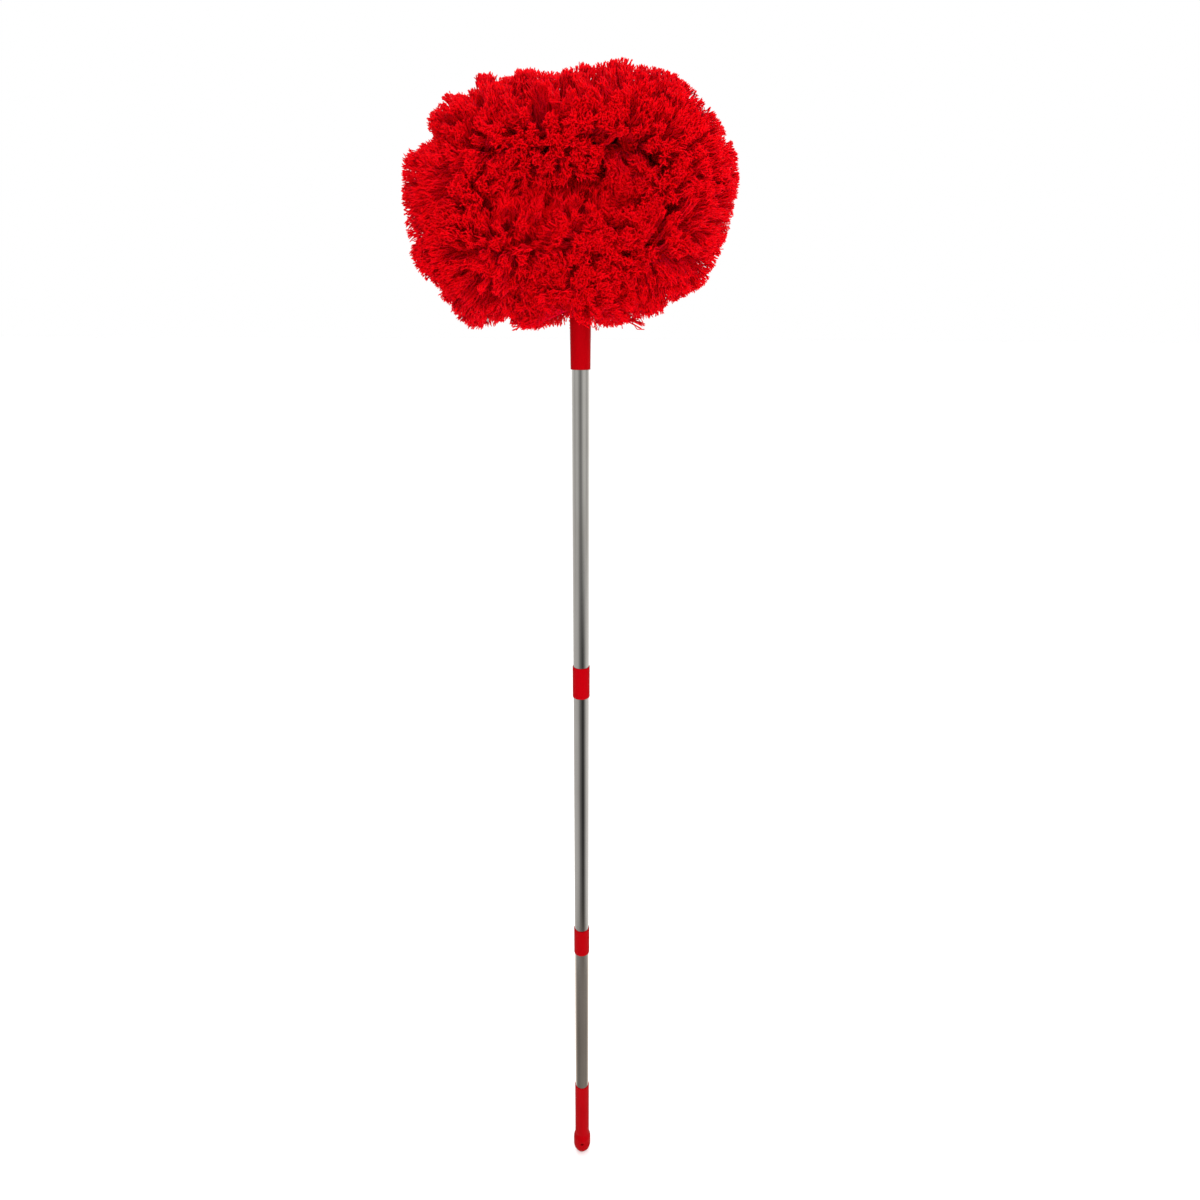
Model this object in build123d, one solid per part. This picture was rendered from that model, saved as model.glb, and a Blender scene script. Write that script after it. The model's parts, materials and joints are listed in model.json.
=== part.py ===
from build123d import *

import math
import os

# Three-section screw-together duster pole with a looped fibre head.
# Millimetres, +Z up the pole, origin at the centre of the hanging hole in the end cap.
# X runs across the wide side of the head and Y through its depth.

# Pole
TUBE_D = 22.0
TUBE_WALL = 0.6
TUBE_BORE = TUBE_D - 2 * TUBE_WALL
SECTION = 450.0
FIRST_JOINT_Z = 406.0
JOINT_Z = [FIRST_JOINT_Z + i * SECTION for i in range(3)]
JOINT_GAP = 0.3
SECTION_NAMES = ["lower", "middle", "upper"]

# Screw joint between two sections
THREAD_PITCH = 4.0
RIDGE_ROOT_R = 6.6
RIDGE_CREST_R = 8.0
RIDGE_ROOT_W = 2.0
RIDGE_CREST_W = 1.0
RIDGE_SINK = 0.3
THREAD_GAP = 0.3
RIDGE_START = 3.0
RIDGE_LENGTH = 18.0
PLUG_NECK = 24.0
PLUG_BODY = 26.0
PLUG_LEAD = 1.0
NECK_LEAD = 1.2
PLUG_CORE_D = 8.0
PLUG_CORE_TOP = 6.0

# Washer in the mouth of each socket
WASHER_OD = 19.0
WASHER_ID = 16.8
WASHER_T = 1.5
WASHER_EDGE = 0.2
WASHER_GAP = 0.1
MOUTH_D = 19.8

# Socket, the red collar at the foot of the middle and upper sections
SOCKET_D = 24.2
SOCKET_L = 47.0
SOCKET_BOTTOM_ROUND = 1.1
SOCKET_TOP_ROUND = 0.35
THREAD_DEPTH = 28.0
WEB = 4.0

# Handle
GRIP_D = 23.8
GRIP_BOTTOM_Z = 16.0
GRIP_TOP_Z = 126.0
GRIP_ROUND = 0.4
CAP_D = 28.8
CAP_BOTTOM_Z = -25.0
CAP_TOP_Z = 16.0
CAP_NOSE_R = 3.0
CAP_NOSE_L = 17.0
CAP_SHOULDER = 11.0
CAP_STEM_L = 22.0
CAP_STEM_LEAD = 1.2
HANG_HOLE_D = 5.5

# Head
COUPLER_TOP_D = 26.4
COUPLER_BOTTOM_D = 24.9
COUPLER_L = 72.0
COUPLER_TOP_ROUND = 2.0
COUPLER_BOTTOM_ROUND = 0.5
WIRE_D = 3.0
WIRE_PITCH_Y = 3.2
WIRE_SEAT_L = 34.0
WIRE_SEAT_D = 6.6
LEG_X = 6.0
HEAD_X = -12.0
HEAD_Z = 1500.0
HEAD_W = 390.0
HEAD_H = 282.0
HEAD_DEPTH = 168.0
HEAD_ROUND = 76.0
PILE_SKIN = 2.0
PILE_GAP = 0.4
FIBRE_L = 84.0
LOOP_CORNER_R = 48.0
LEG_CORNER_R = 20.0


def disc(radius, bottom, top):
    return Pos(0, 0, bottom) * Cylinder(radius, top - bottom, align=(Align.CENTER, Align.CENTER, Align.MIN))


def ring(outer_d, inner_d, bottom, top):
    return disc(outer_d / 2, bottom, top) - disc(inner_d / 2, bottom, top)


def helical_ridge(root_r, crest_r, root_w, crest_w, bottom, length):
    """A trapezoid thread rib on a right-hand helix, root on root_r and crest on crest_r."""
    path = Helix(pitch=THREAD_PITCH, height=length, radius=root_r)
    start = Plane(origin=path @ 0, x_dir=(1, 0, 0), z_dir=path % 0)
    reach = crest_r - root_r
    corners = [(0, -root_w / 2), (reach, -crest_w / 2), (reach, crest_w / 2), (0, root_w / 2)]
    profile = start * make_face(Polyline(*corners, close=True))
    return Pos(0, 0, bottom) * sweep(profile, path=path, is_frenet=True)


def male_thread(joint):
    """The rib on a plug's neck. Its root is sunk into the neck so that the two fuse."""
    slope = (RIDGE_ROOT_W - RIDGE_CREST_W) / (RIDGE_CREST_R - RIDGE_ROOT_R)
    root_w = RIDGE_ROOT_W + slope * RIDGE_SINK
    root_r = RIDGE_ROOT_R - RIDGE_SINK
    return helical_ridge(root_r, RIDGE_CREST_R, root_w, RIDGE_CREST_W, joint + RIDGE_START, RIDGE_LENGTH)


def female_thread(joint):
    """The rib inside a socket: half a pitch above the plug's rib, with THREAD_GAP on every side.

    Its root is sunk one more THREAD_GAP into the socket's wall so that the two fuse.
    """
    slope = (RIDGE_ROOT_W - RIDGE_CREST_W) / (RIDGE_CREST_R - RIDGE_ROOT_R)
    crest_r = RIDGE_ROOT_R + THREAD_GAP
    root_r = RIDGE_CREST_R + 2 * THREAD_GAP
    free = THREAD_PITCH - RIDGE_ROOT_W - 2 * THREAD_GAP
    crest_w = free + slope * (crest_r - RIDGE_ROOT_R)
    root_w = free + slope * (root_r - RIDGE_ROOT_R)
    bottom = joint + RIDGE_START + THREAD_PITCH / 2
    return helical_ridge(root_r, crest_r, root_w, crest_w, bottom, RIDGE_LENGTH)


def tube(bottom, top):
    return ring(TUBE_D, TUBE_BORE, bottom, top)


def plug(joint):
    """Threaded end plug: a cored body pressed into the tube's top, and a screwed neck above it."""
    shoulder = joint - JOINT_GAP
    body = disc(TUBE_BORE / 2, shoulder - PLUG_BODY, shoulder)
    body = chamfer(body.edges().group_by(Axis.Z)[0], PLUG_LEAD)
    neck = disc(RIDGE_ROOT_R, shoulder, joint + PLUG_NECK)
    neck = chamfer(neck.edges().group_by(Axis.Z)[-1], NECK_LEAD)
    core = disc(PLUG_CORE_D / 2, shoulder - PLUG_BODY, joint + PLUG_NECK - PLUG_CORE_TOP)
    return body + neck + male_thread(joint) - core


def washer(joint):
    bottom = joint - JOINT_GAP + WASHER_GAP
    body = ring(WASHER_OD, WASHER_ID, bottom, bottom + WASHER_T)
    return chamfer(body.edges().filter_by(GeomType.CIRCLE), WASHER_EDGE)


def threaded_bore(joint):
    """The hollow that a socket leaves for the plug: washer mouth, then the thread's full bore."""
    mouth_floor = joint - JOINT_GAP + 2 * WASHER_GAP + WASHER_T
    mouth = disc(MOUTH_D / 2, joint, mouth_floor)
    return mouth + disc(RIDGE_CREST_R + THREAD_GAP, joint, joint + THREAD_DEPTH)


def socket(joint):
    """Red collar: screwed bore below, a web, and a seat for the section's own tube above."""
    body = disc(SOCKET_D / 2, joint, joint + SOCKET_L)
    body = fillet(body.edges().group_by(Axis.Z)[0], SOCKET_BOTTOM_ROUND)
    body = fillet(body.edges().group_by(Axis.Z)[-1], SOCKET_TOP_ROUND)
    seat = disc(TUBE_D / 2, joint + THREAD_DEPTH + WEB, joint + SOCKET_L)
    return body - threaded_bore(joint) - seat + female_thread(joint)


def end_cap():
    """Hanging cap: a rounded knob with a cross hole, and a stem up inside the tube."""
    r = CAP_D / 2
    neck_r = GRIP_D / 2
    waist_z = CAP_TOP_Z - CAP_SHOULDER
    nose_centre = (CAP_NOSE_R, CAP_BOTTOM_Z + CAP_NOSE_L)
    with BuildPart() as cap:
        with BuildSketch(Plane.XZ):
            with BuildLine():
                nose = Line((0, CAP_BOTTOM_Z), (CAP_NOSE_R, CAP_BOTTOM_Z))
                flank = EllipticalCenterArc(nose_centre, r - CAP_NOSE_R, CAP_NOSE_L, 270, arc_size=90)
                side = Line(flank @ 1, (r, waist_z))
                shoulder = Spline(side @ 1, (neck_r, CAP_TOP_Z), tangents=[(0, 1), (-0.2, 1)])
                Line(shoulder @ 1, (0, CAP_TOP_Z))
                Line((0, CAP_TOP_Z), nose @ 0)
            make_face()
        revolve(axis=Axis.Z)
    stem = disc(TUBE_BORE / 2, CAP_TOP_Z, CAP_TOP_Z + CAP_STEM_L)
    stem = chamfer(stem.edges().group_by(Axis.Z)[-1], CAP_STEM_LEAD)
    hole = Rot(90, 0, 0) * Cylinder(HANG_HOLE_D / 2, 2 * CAP_D)
    return cap.part + stem - hole


def grip():
    """Plain sleeve pushed over the foot of the lower tube."""
    body = disc(GRIP_D / 2, GRIP_BOTTOM_Z, GRIP_TOP_Z)
    body = fillet(body.edges().group_by(Axis.Z)[-1], GRIP_ROUND)
    return body - disc(TUBE_D / 2, GRIP_BOTTOM_Z, GRIP_TOP_Z)


def head_coupler(joint):
    """Tapered red coupler: screwed bore below, two wire seats above."""
    top = joint + COUPLER_L
    body = Pos(0, 0, joint) * Cone(
        COUPLER_BOTTOM_D / 2, COUPLER_TOP_D / 2, COUPLER_L, align=(Align.CENTER, Align.CENTER, Align.MIN)
    )
    body = fillet(body.edges().group_by(Axis.Z)[0], COUPLER_BOTTOM_ROUND)
    body = fillet(body.edges().group_by(Axis.Z)[-1], COUPLER_TOP_ROUND)
    body = body - threaded_bore(joint) + female_thread(joint)
    for side in (-1, 1):
        body -= Pos(side * LEG_X, 0, 0) * disc(WIRE_SEAT_D / 2, top - WIRE_SEAT_L, top)
    return body


def loop_path(y):
    """Centre line of the wire: up out of the coupler, round an oval loop and back down."""
    half_w = HEAD_W / 2 - FIBRE_L
    half_h = HEAD_H / 2 - FIBRE_L
    left = HEAD_X - half_w
    right = HEAD_X + half_w
    low = HEAD_Z - half_h
    high = HEAD_Z + half_h
    foot = JOINT_Z[-1] + COUPLER_L - WIRE_SEAT_L
    corners = [
        (-LEG_X, y, foot),
        (-LEG_X, y, low),
        (left, y, low),
        (left, y, high),
        (right, y, high),
        (right, y, low),
        (LEG_X, y, low),
        (LEG_X, y, foot),
    ]
    radii = [LEG_CORNER_R] + [LOOP_CORNER_R] * 4 + [LEG_CORNER_R]
    return FilletPolyline(*corners, radius=radii)


def loop_wire(side):
    path = loop_path(side * WIRE_PITCH_Y / 2)
    section = Plane(origin=path @ 0, z_dir=path % 0) * Circle(WIRE_D / 2)
    return sweep(section, path=path)


def oval_pad(shrink):
    """The head's outer form, one fibre's length out from the wire loop, drawn in by shrink all round."""
    corner = LOOP_CORNER_R + FIBRE_L - shrink
    outline = Plane.XZ * RectangleRounded(HEAD_W - 2 * shrink, HEAD_H - 2 * shrink, corner)
    pad = extrude(outline, amount=HEAD_DEPTH / 2 - shrink, both=True)
    return Pos(HEAD_X, 0, HEAD_Z) * fillet(pad.edges(), HEAD_ROUND - shrink)


def fibre_pile(joint):
    """Outer skin of the fibre, hollow because the fibre is mostly air, open where the coupler enters."""
    shell = oval_pad(0) - oval_pad(PILE_SKIN)
    return shell - disc(COUPLER_TOP_D / 2 + PILE_GAP, joint, HEAD_Z - HEAD_H / 4)


def build():
    nodes = {"end_cap": end_cap(), "grip": grip()}
    bottom = GRIP_BOTTOM_Z
    for name, joint in zip(SECTION_NAMES, JOINT_Z):
        nodes[f"{name}_tube"] = tube(bottom, joint - JOINT_GAP)
        nodes[f"{name}_plug"] = plug(joint)
        nodes[f"{name}_washer"] = washer(joint)
        bottom = joint + THREAD_DEPTH + WEB
    for name, joint in zip(SECTION_NAMES[1:], JOINT_Z):
        nodes[f"{name}_socket"] = socket(joint)
    nodes["head_coupler"] = head_coupler(JOINT_Z[-1])
    nodes["loop_wire_front"] = loop_wire(-1)
    nodes["loop_wire_back"] = loop_wire(1)
    nodes["fibre_pile"] = fibre_pile(JOINT_Z[-1])
    return nodes


os.makedirs("parts", exist_ok=True)
for name, shape in build().items():
    export_step(shape, f"parts/{name}.step")
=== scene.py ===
"""The looks of a long-handled duster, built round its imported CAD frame.

Metres, +Z up the pole with the head at the top, +Y to the back.
"""
import json
import math

import bpy
import numpy as np
from mathutils import Euler, Matrix, Vector


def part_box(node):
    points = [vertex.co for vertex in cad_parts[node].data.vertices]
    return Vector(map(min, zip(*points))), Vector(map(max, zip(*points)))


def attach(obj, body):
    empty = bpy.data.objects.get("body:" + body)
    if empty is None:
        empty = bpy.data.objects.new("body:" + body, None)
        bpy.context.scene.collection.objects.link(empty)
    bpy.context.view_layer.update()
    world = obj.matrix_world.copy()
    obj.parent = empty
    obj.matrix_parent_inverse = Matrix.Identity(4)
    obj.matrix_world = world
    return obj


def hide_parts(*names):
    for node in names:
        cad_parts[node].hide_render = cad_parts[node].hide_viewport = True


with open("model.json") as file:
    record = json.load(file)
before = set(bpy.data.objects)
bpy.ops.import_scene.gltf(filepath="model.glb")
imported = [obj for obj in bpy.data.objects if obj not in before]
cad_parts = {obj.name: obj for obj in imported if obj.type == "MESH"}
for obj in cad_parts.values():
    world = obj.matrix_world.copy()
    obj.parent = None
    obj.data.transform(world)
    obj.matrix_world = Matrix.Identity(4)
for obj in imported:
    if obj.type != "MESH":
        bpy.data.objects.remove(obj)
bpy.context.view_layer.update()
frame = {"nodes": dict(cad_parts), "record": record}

SEED = 20
MM = 0.001

# ---------------------------------------------------------------- sizes read from the frame
pile_lo, pile_hi = (np.array(c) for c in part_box("fibre_pile"))
wire_lo, wire_hi = (np.array(c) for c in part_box("loop_wire_front"))
coupler_lo, coupler_hi = (np.array(c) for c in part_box("head_coupler"))
cap_lo = np.array(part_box("end_cap")[0])
wire_r = (wire_hi[1] - wire_lo[1]) / 2
fibre_l = pile_hi[2] - wire_hi[2] + wire_r
loop_left = wire_lo[0] + wire_r
loop_right = wire_hi[0] - wire_r
loop_high = wire_hi[2] - wire_r
loop_low = pile_lo[2] + fibre_l
head_centre = (pile_lo + pile_hi) / 2

# The rounding of the wire loop's corners, and of the two bends where its legs leave for the coupler
LOOP_CORNER = 48 * MM
LEG_CORNER = 20 * MM
# Half the distance between the legs, and the height above the coupler where the fibre begins on them
LEG_X = 6 * MM
LEG_SHOWS_FROM = 2 * MM


# ---------------------------------------------------------------- materials
# The Mix node's sockets for each kind of data, by number because their names repeat
MIX_VECTOR_A = 4
MIX_VECTOR_B = 5
MIX_VECTOR_OUT = 1
MIX_COLOUR_A = 6
MIX_COLOUR_B = 7
MIX_COLOUR_OUT = 2

# How far a fibre's shading turns from its own round surface to the way it points, from 0 to 1
FIBRE_SOFTNESS = 0.55
# Plastic and fibre are lit softly in the studio, so they show little shine, and that is reddish
PLASTIC_SHINE = 0.02
PLASTIC_SHINE_TINT = (1.0, 0.2, 0.22, 1.0)
FIBRE_SHINE = 0.06
FIBRE_SHINE_TINT = (1.0, 0.3, 0.35, 1.0)


class Nodes:
    """Short ways to add and join shader nodes in one material."""

    def __init__(self, name):
        self.material = bpy.data.materials.new(name)
        self.material.use_nodes = True
        self.tree = self.material.node_tree
        self.tree.nodes.clear()
        self.shader = self.add("ShaderNodeBsdfPrincipled")
        self.out = self.add("ShaderNodeOutputMaterial")
        self.link(self.shader.outputs[0], self.out.inputs["Surface"])

    def add(self, kind, inputs=None, **fields):
        node = self.tree.nodes.new(kind)
        for key, value in fields.items():
            setattr(node, key, value)
        for key, value in (inputs or {}).items():
            self.put(node.inputs[key], value)
        return node

    def link(self, a, b):
        self.tree.links.new(a, b)

    def put(self, socket, value):
        if isinstance(value, bpy.types.NodeSocket):
            self.link(value, socket)
        else:
            socket.default_value = value

    def set(self, **values):
        for key, value in values.items():
            self.put(self.shader.inputs[key.replace("_", " ")], value)

    def math(self, operation, a, b):
        return self.add("ShaderNodeMath", {0: a, 1: b}, operation=operation).outputs[0]

    def coords(self, scale=(1, 1, 1)):
        place = self.add("ShaderNodeTexCoord")
        mapping = self.add("ShaderNodeMapping", {"Vector": place.outputs["Object"], "Scale": scale})
        return mapping.outputs[0]

    def noise(self, vector, scale, detail=3.0, rough=0.5):
        inputs = {"Vector": vector, "Scale": scale, "Detail": detail, "Roughness": rough}
        return self.add("ShaderNodeTexNoise", inputs).outputs["Fac"]

    def ramp(self, value, stops):
        node = self.add("ShaderNodeValToRGB", {"Fac": value})
        ramp = node.color_ramp
        while len(ramp.elements) < len(stops):
            ramp.elements.new(0.5)
        for element, (position, colour) in zip(ramp.elements, stops):
            element.position = position
            element.color = (*colour, 1.0)
        return node.outputs["Color"]

    def spread(self, value, low, high):
        node = self.add("ShaderNodeMapRange", {"Value": value, "To Min": low, "To Max": high})
        return node.outputs["Result"]

    def tinted(self, colour, level):
        """A colour multiplied by a grey level."""
        inputs = {0: 1.0, MIX_COLOUR_A: colour, MIX_COLOUR_B: level}
        node = self.add("ShaderNodeMix", inputs, data_type="RGBA", blend_type="MULTIPLY")
        return node.outputs[MIX_COLOUR_OUT]

    def bump(self, height, distance, strength=1.0, normal=None):
        node = self.add("ShaderNodeBump", {"Height": height, "Distance": distance, "Strength": strength})
        if normal is not None:
            self.link(normal, node.inputs["Normal"])
        return node.outputs[0]


def polished_steel():
    """Drawn and polished stainless tube: fine rings from the belt, faint smears, a few long scuffs."""
    n = Nodes("polished_steel")
    rings = n.noise(n.coords((20, 20, 2600)), 1.0, 2.0)
    smears = n.noise(n.coords((30, 30, 6)), 1.0, 4.0, 0.6)
    scuffs = n.noise(n.coords((1500, 1500, 14)), 1.0, 2.0)
    tint = n.ramp(smears, [(0.3, (0.56, 0.545, 0.52)), (0.7, (0.66, 0.655, 0.64))])
    worn = n.math("ADD", n.spread(smears, 0.06, 0.17), n.spread(scuffs, -0.03, 0.05))
    n.set(Base_Color=tint, Metallic=1.0, Roughness=worn)
    fine = n.bump(rings, 0.02 * MM, 0.35)
    n.set(Normal=n.bump(scuffs, 0.02 * MM, 0.3, fine))
    return n.material


def red_plastic(name, deep, bright, rough):
    """Injection-moulded polypropylene: fine grain, slow flow marks and light handling scuffs."""
    n = Nodes(name)
    flow = n.noise(n.coords((60, 60, 18)), 1.0, 3.0)
    grain = n.noise(n.coords(), 2600.0, 2.0)
    scuffs = n.noise(n.coords((900, 900, 60)), 1.0, 3.0, 0.7)
    n.set(Base_Color=n.ramp(flow, [(0.3, deep), (0.7, bright)]))
    worn = n.spread(scuffs, -0.03, 0.08)
    n.set(Roughness=n.math("ADD", n.spread(grain, rough - 0.05, rough + 0.05), worn))
    n.set(Normal=n.bump(scuffs, 0.03 * MM, 0.3, n.bump(grain, 0.04 * MM, 0.35)))
    n.set(Specular_IOR_Level=PLASTIC_SHINE, Specular_Tint=PLASTIC_SHINE_TINT)
    return n.material


def rubber():
    """Black washer rubber, slightly grey with plug dust."""
    n = Nodes("washer_rubber")
    grain = n.noise(n.coords(), 1800.0, 3.0)
    n.set(Base_Color=n.ramp(grain, [(0.3, (0.02, 0.02, 0.021)), (0.7, (0.045, 0.043, 0.042))]))
    n.set(Roughness=n.spread(grain, 0.6, 0.8), Normal=n.bump(grain, 0.05 * MM, 0.5))
    return n.material


def wire_steel():
    """Drawn galvanised wire."""
    n = Nodes("wire_steel")
    drawn = n.noise(n.coords(), 900.0, 3.0)
    n.set(Base_Color=n.ramp(drawn, [(0.3, (0.34, 0.33, 0.32)), (0.7, (0.52, 0.51, 0.5))]))
    n.set(Metallic=1.0, Roughness=n.spread(drawn, 0.3, 0.45), Normal=n.bump(drawn, 0.03 * MM, 0.4))
    return n.material


def softened_normal(n):
    """A fibre stands for a bundle of finer ones, so its shading turns towards the way it points.

    That way is given in the head's own axes and isn't turned into the world's, so this shading is right
    while the head is a whole number of turns from rest.
    """
    lie = n.add("ShaderNodeAttribute", attribute_name="lie").outputs["Vector"]
    true = n.add("ShaderNodeNewGeometry").outputs["Normal"]
    inputs = {0: FIBRE_SOFTNESS, MIX_VECTOR_A: true, MIX_VECTOR_B: lie}
    blend = n.add("ShaderNodeMix", inputs, data_type="VECTOR").outputs[MIX_VECTOR_OUT]
    return n.add("ShaderNodeVectorMath", {0: blend}, operation="NORMALIZE").outputs[0]


def red_fibre():
    """Crimped polypropylene fibre, its red painted lighter and bluer at the roots as fill against their
    shade, and darker at the tips to damp their highlights.
    """
    n = Nodes("red_fibre")
    along = n.add("ShaderNodeAttribute", attribute_name="along").outputs["Fac"]
    shade = n.add("ShaderNodeAttribute", attribute_name="shade").outputs["Fac"]
    patches = n.noise(n.coords(), 38.0, 2.0)
    # Painted light along each fibre: lighter and bluer at the root, a painted fill against the shade
    # between the fibres, and darker towards the tip, damping its highlights
    colour = n.ramp(along, [
        (0.0, (0.98, 0.0006, 0.018)),
        (0.45, (0.97, 0.0006, 0.011)),
        (0.75, (0.92, 0.0005, 0.006)),
        (1.0, (0.84, 0.0004, 0.003)),
    ])
    level = n.math("MULTIPLY", shade, n.spread(patches, 0.92, 1.05))
    n.set(Base_Color=n.tinted(colour, level))
    n.set(Roughness=n.spread(patches, 0.5, 0.62), Specular_IOR_Level=FIBRE_SHINE)
    n.set(Specular_Tint=FIBRE_SHINE_TINT)
    n.set(Subsurface_Weight=0.8, Subsurface_Radius=(1.0, 0.15, 0.15), Subsurface_Scale=6 * MM)
    n.set(Normal=softened_normal(n))
    return n.material


STEEL = polished_steel()
RED = red_plastic("red_plastic", (0.30, 0.0002, 0.002), (0.35, 0.0003, 0.003), 0.42)
RED_PLUG = red_plastic("plug_plastic", (0.26, 0.0002, 0.002), (0.31, 0.0003, 0.003), 0.5)
RUBBER = rubber()
WIRE = wire_steel()
FIBRE = red_fibre()
BY_SLOT = {
    "polished_steel": STEEL,
    "red_plastic": RED,
    "plug_plastic": RED_PLUG,
    "washer_rubber": RUBBER,
    "wire_steel": WIRE,
    "red_fibre": FIBRE,
}


def dress_cad_nodes():
    """Every CAD node keeps its shape and takes its slot's material."""
    for entry in frame["record"]["subparts"]:
        node = frame["nodes"][entry["node"]]
        for slot in node.material_slots:
            slot.link = "OBJECT"
            slot.material = BY_SLOT[entry["material_slot"]]


dress_cad_nodes()


# ---------------------------------------------------------------- the wire loop's line
def rounded_line(corners, radii, step=0.5 * MM):
    """Points every step along a polyline in the XZ plane, with its corners rounded by arcs."""
    corners = [np.array(c, float) for c in corners]
    points = []
    here = corners[0]
    for before, corner, after, radius in zip(corners, corners[1:], corners[2:], radii):
        into = (corner - before) / np.linalg.norm(corner - before)
        out = (after - corner) / np.linalg.norm(after - corner)
        turn = math.acos(float(np.clip(into @ out, -1, 1)))
        cut = radius * math.tan(turn / 2)
        start = corner - into * cut
        side = out - into * (into @ out)
        side = side / np.linalg.norm(side)
        centre = start + side * radius
        run = int(max(2, np.linalg.norm(start - here) / step))
        points += [here + (start - here) * k / run for k in range(run)]
        bends = int(max(4, radius * turn / step))
        for k in range(bends):
            a = turn * k / bends
            points.append(centre - side * radius * math.cos(a) + into * radius * math.sin(a))
        here = corner + out * cut
    run = int(max(2, np.linalg.norm(corners[-1] - here) / step))
    points += [here + (corners[-1] - here) * k / run for k in range(run + 1)]
    return np.array(points)


leg_foot = coupler_hi[2] + LEG_SHOWS_FROM
loop = rounded_line(
    [
        (-LEG_X, leg_foot),
        (-LEG_X, loop_low),
        (loop_left, loop_low),
        (loop_left, loop_high),
        (loop_right, loop_high),
        (loop_right, loop_low),
        (LEG_X, loop_low),
        (LEG_X, leg_foot),
    ],
    [LEG_CORNER] + [LOOP_CORNER] * 4 + [LEG_CORNER],
)
loop_tangent = np.gradient(loop, axis=0)
loop_tangent /= np.linalg.norm(loop_tangent, axis=1)[:, None]
loop_outward = np.stack([-loop_tangent[:, 1], loop_tangent[:, 0]], axis=1)
loop_step = np.linalg.norm(np.diff(loop, axis=0), axis=1).mean()
turning = np.gradient(np.unwrap(np.arctan2(loop_tangent[:, 1], loop_tangent[:, 0]))) / loop_step
# Positive where the loop curves away from its outward side
loop_curve = -turning

# ---------------------------------------------------------------- fibre
rng = np.random.default_rng(SEED)
TUFTS = 6000
FIBRES_PER_TUFT = 13
SPANS = 16
# Where a fibre's rings lie along it, and how far each ring and the tip are pushed aside by the crimp
RINGS = np.array([0.0, 0.35, 0.58, 0.76, 0.89, 0.985])
CRIMP_STEPS = np.array([0, 0.6, -1, 1, -1, 0.7, 0.9])
CRIMP = 2.3 * MM
CRIMP_RANGE = (0.4, 1.3)
SIDES = 3
ROOT_R = 0.42 * MM
BODY_R = 0.6 * MM
TIP_R = 0.68 * MM

# A tuft fans out to this half width at its tips, and its fibres end within this much of each other
TUFT_HALF_WIDTH = 6.0 * MM
TRIM_SPREAD = 2.6 * MM
# How far the tufts differ in length, and the share of the wire's own direction in the way they point
TUFT_LENGTH_SPREAD = 1.6 * MM
TUFT_SLANT = 0.16
# Fibres start this far out from the wire's line, and are spread this far along it
ROOT_OUT = 1.5 * MM
ROOT_SPREAD = 1.5 * MM
# A fibre leaves the wire straight out and bends over: its middle control point, as shares of its length
# and of its sideways reach
BEND_AT = 0.5
BEND_ASIDE = 0.35
# Neighbouring tufts lean the same way, which parts the pile here and there. Each wave has a length in
# metres and a size in millimetres, and each tuft leans a little by itself
LEAN_WAVES = [(0.110, 9), (0.062, 8), (0.038, 5.5)]
LEAN_DIRECTIONS = 3
LEAN_OWN = 8.0 * MM
# Shorter tufts that fill the pile from within: share of all tufts, least and greatest part of full length
SHORT_TUFTS = [(0.13, 0.15, 0.45), (0.30, 0.5, 0.93)]
# The lower edge is trimmed level, ragged over HEM_RANGE from HEM_DROP below the pile's CAD box
HEM_DROP = 8 * MM
HEM_RANGE = 13 * MM
# Where the loop bends, more tufts point outwards, to cover the wider surface there, and fewer inwards.
# These are the least and the most, as multiples of the number on a straight stretch
LEAST_ROOM = 0.5
MOST_ROOM = 2.6
DRAWS_PER_TUFT = 4
# Spread of shade between tufts and between fibres: standard deviation, least, greatest
TUFT_SHADES = (0.045, 0.85, 1.1)
FIBRE_SHADES = (0.045, 0.85, 1.12)
# Each fibre has one square cell of the texture layout, with this margin all round. The flat face at its
# root, which never shows, takes only a corner of the cell
CELL_MARGIN = 0.06
ROOT_FACE = 0.01

# The outline's swells and hollows fade out towards the front and back, within this distance of the middle
OUTLINE_FADE = 130 * MM
# Swells and hollows of the head's outline: direction and half width in degrees, height in millimetres
OUTLINE = [
    (-170, 6, -4),
    (-157, 9, 8),
    (-132, 11, 18),
    (-120, 5, -9),
    (-106, 11, 9),
    (-72, 9, 5),
    (-62, 5, -5),
    (-44, 8, -8),
    (-14, 14, -5),
    (4, 10, 3),
    (39, 12, -5),
    (58, 8, -4),
    (97, 17, -15),
    (120, 8, -19),
    (136, 5.5, -25),
    (148, 8, -9),
    (160, 6, -24),
]


def unit(v):
    return v / np.maximum(np.linalg.norm(v, axis=-1, keepdims=True), 1e-9)


def place_tufts(count):
    """Roots and directions that cover the outer surface evenly, round the wire and along it."""
    draws = DRAWS_PER_TUFT * count
    where, angle = [], []
    while len(where) < count:
        t = rng.integers(0, len(loop), draws)
        phi = rng.uniform(-math.pi, math.pi, draws)
        room = 1.0 + loop_curve[t] * fibre_l * np.cos(phi)
        keep = rng.uniform(0, MOST_ROOM, draws) < np.clip(room, LEAST_ROOM, MOST_ROOM)
        where += list(t[keep])
        angle += list(phi[keep])
    return np.array(where[:count]), np.array(angle[:count])


def length_at(direction, root):
    """How long a fibre is for the way it points, from the head's trimmed outline."""
    tip = root + direction * fibre_l - head_centre
    a = np.degrees(np.arctan2(tip[:, 2], tip[:, 0]))
    flatness = np.clip(np.hypot(tip[:, 0], tip[:, 2]) / OUTLINE_FADE, 0, 1) ** 2
    trim = np.zeros(len(a))
    for centre, half, amount in OUTLINE:
        off = (a - centre + 180) % 360 - 180
        trim += amount * MM * np.exp(-((off / half) ** 2))
    return fibre_l + trim * flatness


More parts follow.
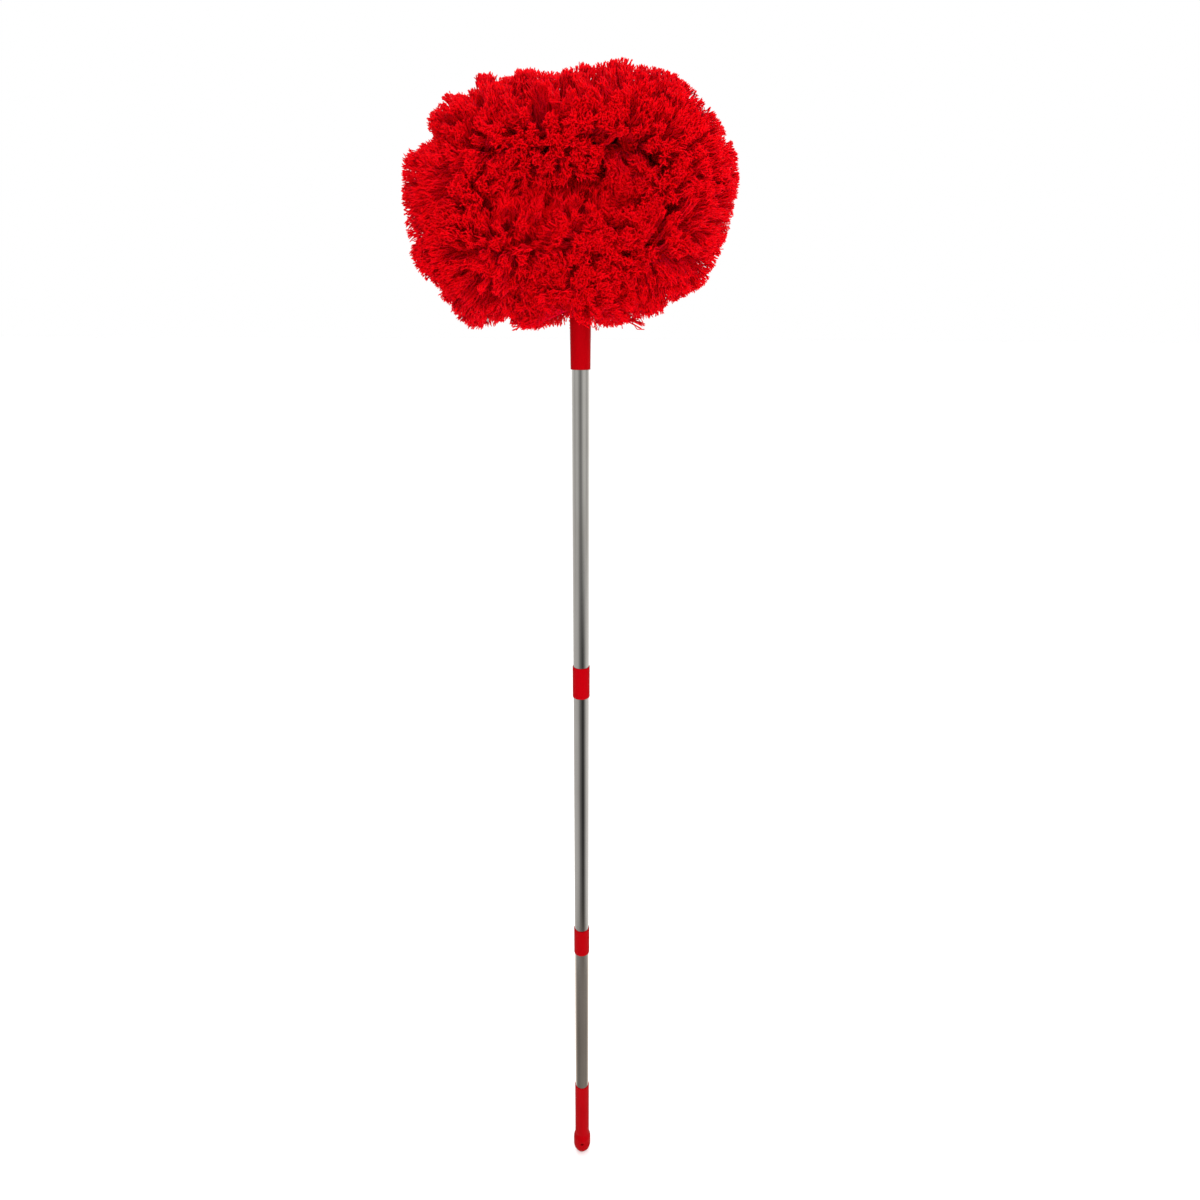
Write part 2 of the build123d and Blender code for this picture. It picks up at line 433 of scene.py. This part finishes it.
def frame_vectors(direction):
    """Two directions square to each given one."""
    helper = np.where(np.abs(direction[:, 2:3]) < 0.8, [[0.0, 0.0, 1.0]], [[1.0, 0.0, 0.0]])
    u = unit(np.cross(direction, helper))
    return u, np.cross(direction, u)


def lean(points):
    """How far the tips of the tufts lean over, in metres: slow waves that cross the whole head."""
    total = np.zeros_like(points)
    for length, size in LEAN_WAVES:
        for _ in range(LEAN_DIRECTIONS):
            across = unit(rng.normal(0, 1, 3)) * 2 * math.pi / length
            push = unit(rng.normal(0, 1, 3)) * size * MM
            total += np.sin(points @ across + rng.uniform(0, 2 * math.pi))[:, None] * push
    return total


def shades(spread, count):
    """Multipliers of the fibre's colour, close to 1."""
    deviation, least, greatest = spread
    return np.clip(rng.normal(1.0, deviation, count), least, greatest)


def grow_fibres():
    """Centre lines of all fibres in order along the wire, (fibres, rings + tip, 3), and their shades."""
    where, angle = place_tufts(TUFTS)
    order = np.argsort(where, kind="stable")
    where, angle = where[order], angle[order]
    out3 = np.stack([loop_outward[where, 0], np.zeros(TUFTS), loop_outward[where, 1]], axis=1)
    tan3 = np.stack([loop_tangent[where, 0], np.zeros(TUFTS), loop_tangent[where, 1]], axis=1)
    root = np.stack([loop[where, 0], np.zeros(TUFTS), loop[where, 1]], axis=1)
    deep = np.array([0.0, 1.0, 0.0])
    straight = np.cos(angle)[:, None] * out3 + np.sin(angle)[:, None] * deep
    straight = unit(straight + tan3 * rng.normal(0, TUFT_SLANT, (TUFTS, 1)))
    leant = straight * fibre_l + lean(root + straight * fibre_l) + rng.normal(0, LEAN_OWN, (TUFTS, 3))
    direction = unit(leant)
    reach = length_at(direction, root) + rng.normal(0, TUFT_LENGTH_SPREAD, TUFTS)
    draw = rng.uniform(0, 1, TUFTS)
    for share, least, greatest in SHORT_TUFTS:
        part = rng.uniform(least, greatest, TUFTS)
        reach = reach * np.where((draw > 0) & (draw < share), part, 1.0)
        draw = draw - share
    tuft_shade = shades(TUFT_SHADES, TUFTS)

    n = TUFTS * FIBRES_PER_TUFT
    own = np.repeat(np.arange(TUFTS), FIBRES_PER_TUFT)
    start = root[own] + straight[own] * ROOT_OUT + tan3[own] * rng.normal(0, ROOT_SPREAD, (n, 1))
    u, v = frame_vectors(direction[own])
    turn = rng.uniform(0, 2 * math.pi, n)
    out = TUFT_HALF_WIDTH * np.sqrt(rng.uniform(0, 1, n))
    sideways = (np.cos(turn) * out)[:, None] * u + (np.sin(turn) * out)[:, None] * v
    length = reach[own] - TRIM_SPREAD * rng.uniform(0, 1, n) ** 2
    tip = root[own] + direction[own] * length[:, None] + sideways
    hem = pile_lo[2] - HEM_DROP + rng.uniform(0, HEM_RANGE, n)
    tip[:, 2] = np.maximum(tip[:, 2], hem)
    middle = start + straight[own] * (BEND_AT * length)[:, None] + BEND_ASIDE * sideways
    s = np.append(RINGS, 1.0)[None, :, None]
    line = start[:, None, :] * (1 - s) ** 2
    line = line + middle[:, None, :] * 2 * s * (1 - s) + tip[:, None, :] * s**2
    phase = rng.uniform(0, 2 * math.pi, n)
    wave = np.cos(phase)[:, None] * u + np.sin(phase)[:, None] * v
    amount = (CRIMP_STEPS * CRIMP)[None, :] * rng.uniform(*CRIMP_RANGE, (n, 1))
    line += wave[:, None, :] * amount[:, :, None]
    return line, tuft_shade[own] * shades(FIBRE_SHADES, n)


def fibre_mesh(name, line, shade):
    """Closed three-sided fibres with blunt tips, each with its own small cell in the texture layout."""
    n = len(line)
    rings = len(RINGS)
    ahead = unit(np.gradient(line, axis=1))
    flat = ahead.reshape(-1, 3)
    u, v = frame_vectors(flat)
    u = u.reshape(n, rings + 1, 3)
    v = v.reshape(n, rings + 1, 3)
    radius = np.interp(RINGS, [0, 0.5, 1.0], [ROOT_R, BODY_R, TIP_R])
    turn = 2 * math.pi * np.arange(SIDES) / SIDES
    around = np.cos(turn)[None, None, :, None] * u[:, :rings, None, :]
    around = around + np.sin(turn)[None, None, :, None] * v[:, :rings, None, :]
    body = line[:, :rings, None, :] + around * radius[None, :, None, None]
    points = np.concatenate([body.reshape(n, -1, 3), line[:, rings:, :]], axis=1)
    per = points.shape[1]

    quads, quad_uv, tris, tri_uv = [], [], [], []
    s = np.append(RINGS, 1.0)
    for k in range(rings - 1):
        for j in range(SIDES):
            a, b = k * SIDES + j, k * SIDES + (j + 1) % SIDES
            quads.append((a, b, b + SIDES, a + SIDES))
            left, right = j / SIDES, (j + 1) / SIDES
            quad_uv.append([(left, s[k]), (right, s[k]), (right, s[k + 1]), (left, s[k + 1])])
    last = (rings - 1) * SIDES
    for j in range(SIDES):
        left, right = j / SIDES, (j + 1) / SIDES
        tris.append((last + j, last + (j + 1) % SIDES, per - 1))
        tri_uv.append([(left, s[-2]), (right, s[-2]), ((left + right) / 2, 1.0)])
    tris.append((2, 1, 0))
    tri_uv.append([(0.0, 0.0), (ROOT_FACE, 0.0), (0.0, ROOT_FACE)])

    offset = np.arange(n)[:, None, None] * per
    q = (np.array(quads)[None] + offset).reshape(n, -1)
    t = (np.array(tris)[None] + offset).reshape(n, -1)
    corners = np.concatenate([q, t], axis=1).astype(np.int32)
    sizes = np.tile(np.array([4] * len(quads) + [3] * len(tris), np.int32), n)
    starts = np.concatenate([[0], np.cumsum(sizes)[:-1]]).astype(np.int32)

    mesh = bpy.data.meshes.new(name)
    mesh.vertices.add(n * per)
    mesh.loops.add(corners.size)
    mesh.polygons.add(len(sizes))
    mesh.vertices.foreach_set("co", points.reshape(-1).astype(np.float32))
    mesh.loops.foreach_set("vertex_index", corners.reshape(-1))
    mesh.polygons.foreach_set("loop_start", starts)
    mesh.polygons.foreach_set("use_smooth", np.ones(len(sizes), bool))
    mesh.update(calc_edges=True)

    grid = math.ceil(math.sqrt(n))
    cell = np.array([(i % grid, i // grid) for i in range(n)], float)
    local = np.array([c for face in quad_uv + tri_uv for c in face])
    uv = (cell[:, None, :] + CELL_MARGIN + (1 - 2 * CELL_MARGIN) * local[None]) / grid
    layer = mesh.uv_layers.new(name="OFBake")
    layer.data.foreach_set("uv", uv.reshape(-1).astype(np.float32))
    along = np.tile(np.append(np.repeat(RINGS, SIDES), 1.0), n).astype(np.float32)
    mesh.attributes.new("along", "FLOAT", "POINT").data.foreach_set("value", along)
    lie = np.repeat(unit(line[:, -1] - line[:, 0]), per, axis=0).astype(np.float32)
    mesh.attributes.new("lie", "FLOAT_VECTOR", "POINT").data.foreach_set("vector", lie.reshape(-1))
    tone = np.repeat(shade, per).astype(np.float32)
    mesh.attributes.new("shade", "FLOAT", "POINT").data.foreach_set("value", tone)
    mesh.materials.append(FIBRE)
    obj = bpy.data.objects.new(name, mesh)
    bpy.context.scene.collection.objects.link(obj)
    return obj


def dress_head():
    """The fibre, in spans along the wire, in place of the pile's plain CAD skin."""
    line, shade = grow_fibres()
    for i, rows in enumerate(np.array_split(np.arange(len(line)), SPANS)):
        piece = fibre_mesh(f"fibre_span_{i + 1}", line[rows], shade[rows])
        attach(piece, "head")
        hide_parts("fibre_pile")


dress_head()


# ---------------------------------------------------------------- floor, light and camera
FLOOR_HALF_SIZE = 60.0
FLOOR_WHITE = (0.92, 0.92, 0.92, 1)


def floor():
    """White ground at the pole's foot, too wide to show an edge, and not mirrored in the steel."""
    n = Nodes("studio_floor")
    n.set(Base_Color=FLOOR_WHITE, Roughness=0.9)
    height = cap_lo[2]
    mesh = bpy.data.meshes.new("studio_floor")
    turns = [(-1, -1), (1, -1), (1, 1), (-1, 1)]
    corners = [(x * FLOOR_HALF_SIZE, y * FLOOR_HALF_SIZE, height) for x, y in turns]
    mesh.from_pydata(corners, [], [(0, 1, 2, 3)])
    mesh.materials.append(n.material)
    obj = bpy.data.objects.new("studio_floor", mesh)
    bpy.context.scene.collection.objects.link(obj)
    obj.visible_glossy = False


# Brightness of the studio walls all round the pole, which the polished tubes mirror as upright bands:
# (turn from the camera's side, positive to the right, in degrees; high, middle and low on the wall)
WALLS = [
    (-180, 1.15, 1.10, 1.10),
    (-134, 0.75, 0.64, 0.90),
    (-104, 0.60, 0.60, 0.40),
    (-88, 0.46, 0.58, 0.22),
    (-60, 0.60, 0.54, 0.18),
    (-38, 0.55, 0.42, 0.19),
    (-20, 0.34, 0.20, 0.22),
    (2, 0.22, 0.10, 0.24),
    (14, 0.36, 0.05, 0.24),
    (28, 0.56, 0.02, 0.25),
    (44, 0.70, 0.12, 0.27),
    (62, 0.68, 0.38, 0.25),
    (82, 0.58, 0.68, 0.24),
    (94, 0.42, 0.74, 0.30),
    (112, 0.75, 0.84, 0.55),
    (138, 1.10, 0.98, 0.90),
    (180, 1.15, 1.10, 1.10),
]
WALL_TINTS = [(1.0, 0.985, 0.95), (1.0, 0.97, 0.94), (1.12, 0.98, 0.86)]
# Where one height of the wall gives way to the next, as the upward part of the direction
MIDDLE_BLEND = (-0.14, -0.44)
LOW_BLEND = (-0.64, -0.68)
CEILING_BLEND = (0.35, 0.65)
CEILING = 1.3


def studio_world():
    """Pale banded walls and a bright ceiling. Seen directly, they are plain white."""
    world = bpy.data.worlds.new("studio")
    bpy.context.scene.world = world
    world.use_nodes = True
    tree = world.node_tree
    tree.nodes.clear()
    link = tree.links.new

    def add(kind, **fields):
        node = tree.nodes.new(kind)
        for key, value in fields.items():
            setattr(node, key, value)
        return node

    place = add("ShaderNodeTexCoord")
    apart = add("ShaderNodeSeparateXYZ")
    link(place.outputs["Generated"], apart.inputs[0])
    flip = add("ShaderNodeMath", operation="MULTIPLY")
    flip.inputs[1].default_value = -1.0
    link(apart.outputs["Y"], flip.inputs[0])
    turn = add("ShaderNodeMath", operation="ARCTAN2")
    link(apart.outputs["X"], turn.inputs[0])
    link(flip.outputs[0], turn.inputs[1])
    share = add("ShaderNodeMapRange")
    share.inputs["From Min"].default_value = -math.pi
    share.inputs["From Max"].default_value = math.pi
    link(turn.outputs[0], share.inputs["Value"])

    def wall(height):
        ramp = add("ShaderNodeValToRGB")
        elements = ramp.color_ramp.elements
        while len(elements) < len(WALLS):
            elements.new(0.5)
        for element, stop in zip(elements, WALLS):
            element.position = stop[0] / 360 + 0.5
            element.color = tuple(stop[1 + height] * c for c in WALL_TINTS[height]) + (1.0,)
        link(share.outputs["Result"], ramp.inputs["Fac"])
        return ramp.outputs["Color"]

    def blend(limits, a, b):
        step = add("ShaderNodeMapRange", interpolation_type="SMOOTHSTEP")
        step.inputs["From Min"].default_value = min(limits)
        step.inputs["From Max"].default_value = max(limits)
        link(apart.outputs["Z"], step.inputs["Value"])
        mix = add("ShaderNodeMix", data_type="RGBA")
        link(step.outputs["Result"], mix.inputs[0])
        for socket, value in ((mix.inputs[MIX_COLOUR_A], a), (mix.inputs[MIX_COLOUR_B], b)):
            if isinstance(value, bpy.types.NodeSocket):
                link(value, socket)
            else:
                socket.default_value = value
        return mix.outputs[MIX_COLOUR_OUT]

    walls = blend(LOW_BLEND, wall(2), wall(1))
    walls = blend(MIDDLE_BLEND, walls, wall(0))
    walls = blend(CEILING_BLEND, walls, (CEILING, CEILING, CEILING, 1.0))
    lit = add("ShaderNodeBackground")
    link(walls, lit.inputs["Color"])
    plain = add("ShaderNodeBackground")
    plain.inputs["Color"].default_value = (1, 1, 1, 1)
    path = add("ShaderNodeLightPath")
    choose = add("ShaderNodeMixShader")
    link(path.outputs["Is Camera Ray"], choose.inputs[0])
    link(lit.outputs[0], choose.inputs[1])
    link(plain.outputs[0], choose.inputs[2])
    out = add("ShaderNodeOutputWorld")
    link(choose.outputs[0], out.inputs["Surface"])


def soft_light(name, place, target, size, power):
    """A lamp panel that shines on the object but isn't mirrored in the steel."""
    lamp = bpy.data.lights.new(name, "AREA")
    lamp.shape = "RECTANGLE"
    lamp.size, lamp.size_y = size
    lamp.energy = power
    obj = bpy.data.objects.new(name, lamp)
    bpy.context.scene.collection.objects.link(obj)
    obj.location = place
    obj.rotation_euler = (Vector(target) - Vector(place)).to_track_quat("-Z", "Y").to_euler()
    obj.visible_glossy = False


bpy.context.scene.view_settings.view_transform = "Standard"
floor()
studio_world()
soft_light("key", (1.7, -1.7, 2.6), (0, 0, 1.3), (2.0, 2.0), 16)
soft_light("front", (0.3, -1.8, 1.5), (0, 0, 1.35), (1.8, 1.8), 28)
soft_light("fill", (-1.8, -1.4, 1.6), (0, 0, 1.0), (1.0, 2.0), 4)
soft_light("rear", (-0.5, 1.9, 1.9), (0, 0, 1.3), (1.2, 1.2), 18)

# The camera stands a little over a metre in front, just above the foot of the head coupler, and looks
# down the pole. Distances are in metres, angles in degrees, the lens in millimetres.
CAMERA_BACK = 1.065
CAMERA_RISE = 0.0592
TILT_DOWN = 18.86
PAN_RIGHT = 1.40
ROLL = 0.33
LENS = 24.64
SENSOR = 36.0


def camera():
    data = bpy.data.cameras.new("camera")
    data.lens = LENS
    data.sensor_width = SENSOR
    obj = bpy.data.objects.new("camera", data)
    bpy.context.scene.collection.objects.link(obj)
    obj.location = (0, -CAMERA_BACK, coupler_lo[2] + CAMERA_RISE)
    turn = Euler((math.radians(90 - TILT_DOWN), 0, math.radians(-PAN_RIGHT))).to_matrix()
    roll = Matrix.Rotation(math.radians(ROLL), 3, "Z")
    obj.rotation_euler = (turn @ roll).to_euler()
    bpy.context.scene.camera = obj


camera()

bpy.context.view_layer.update()
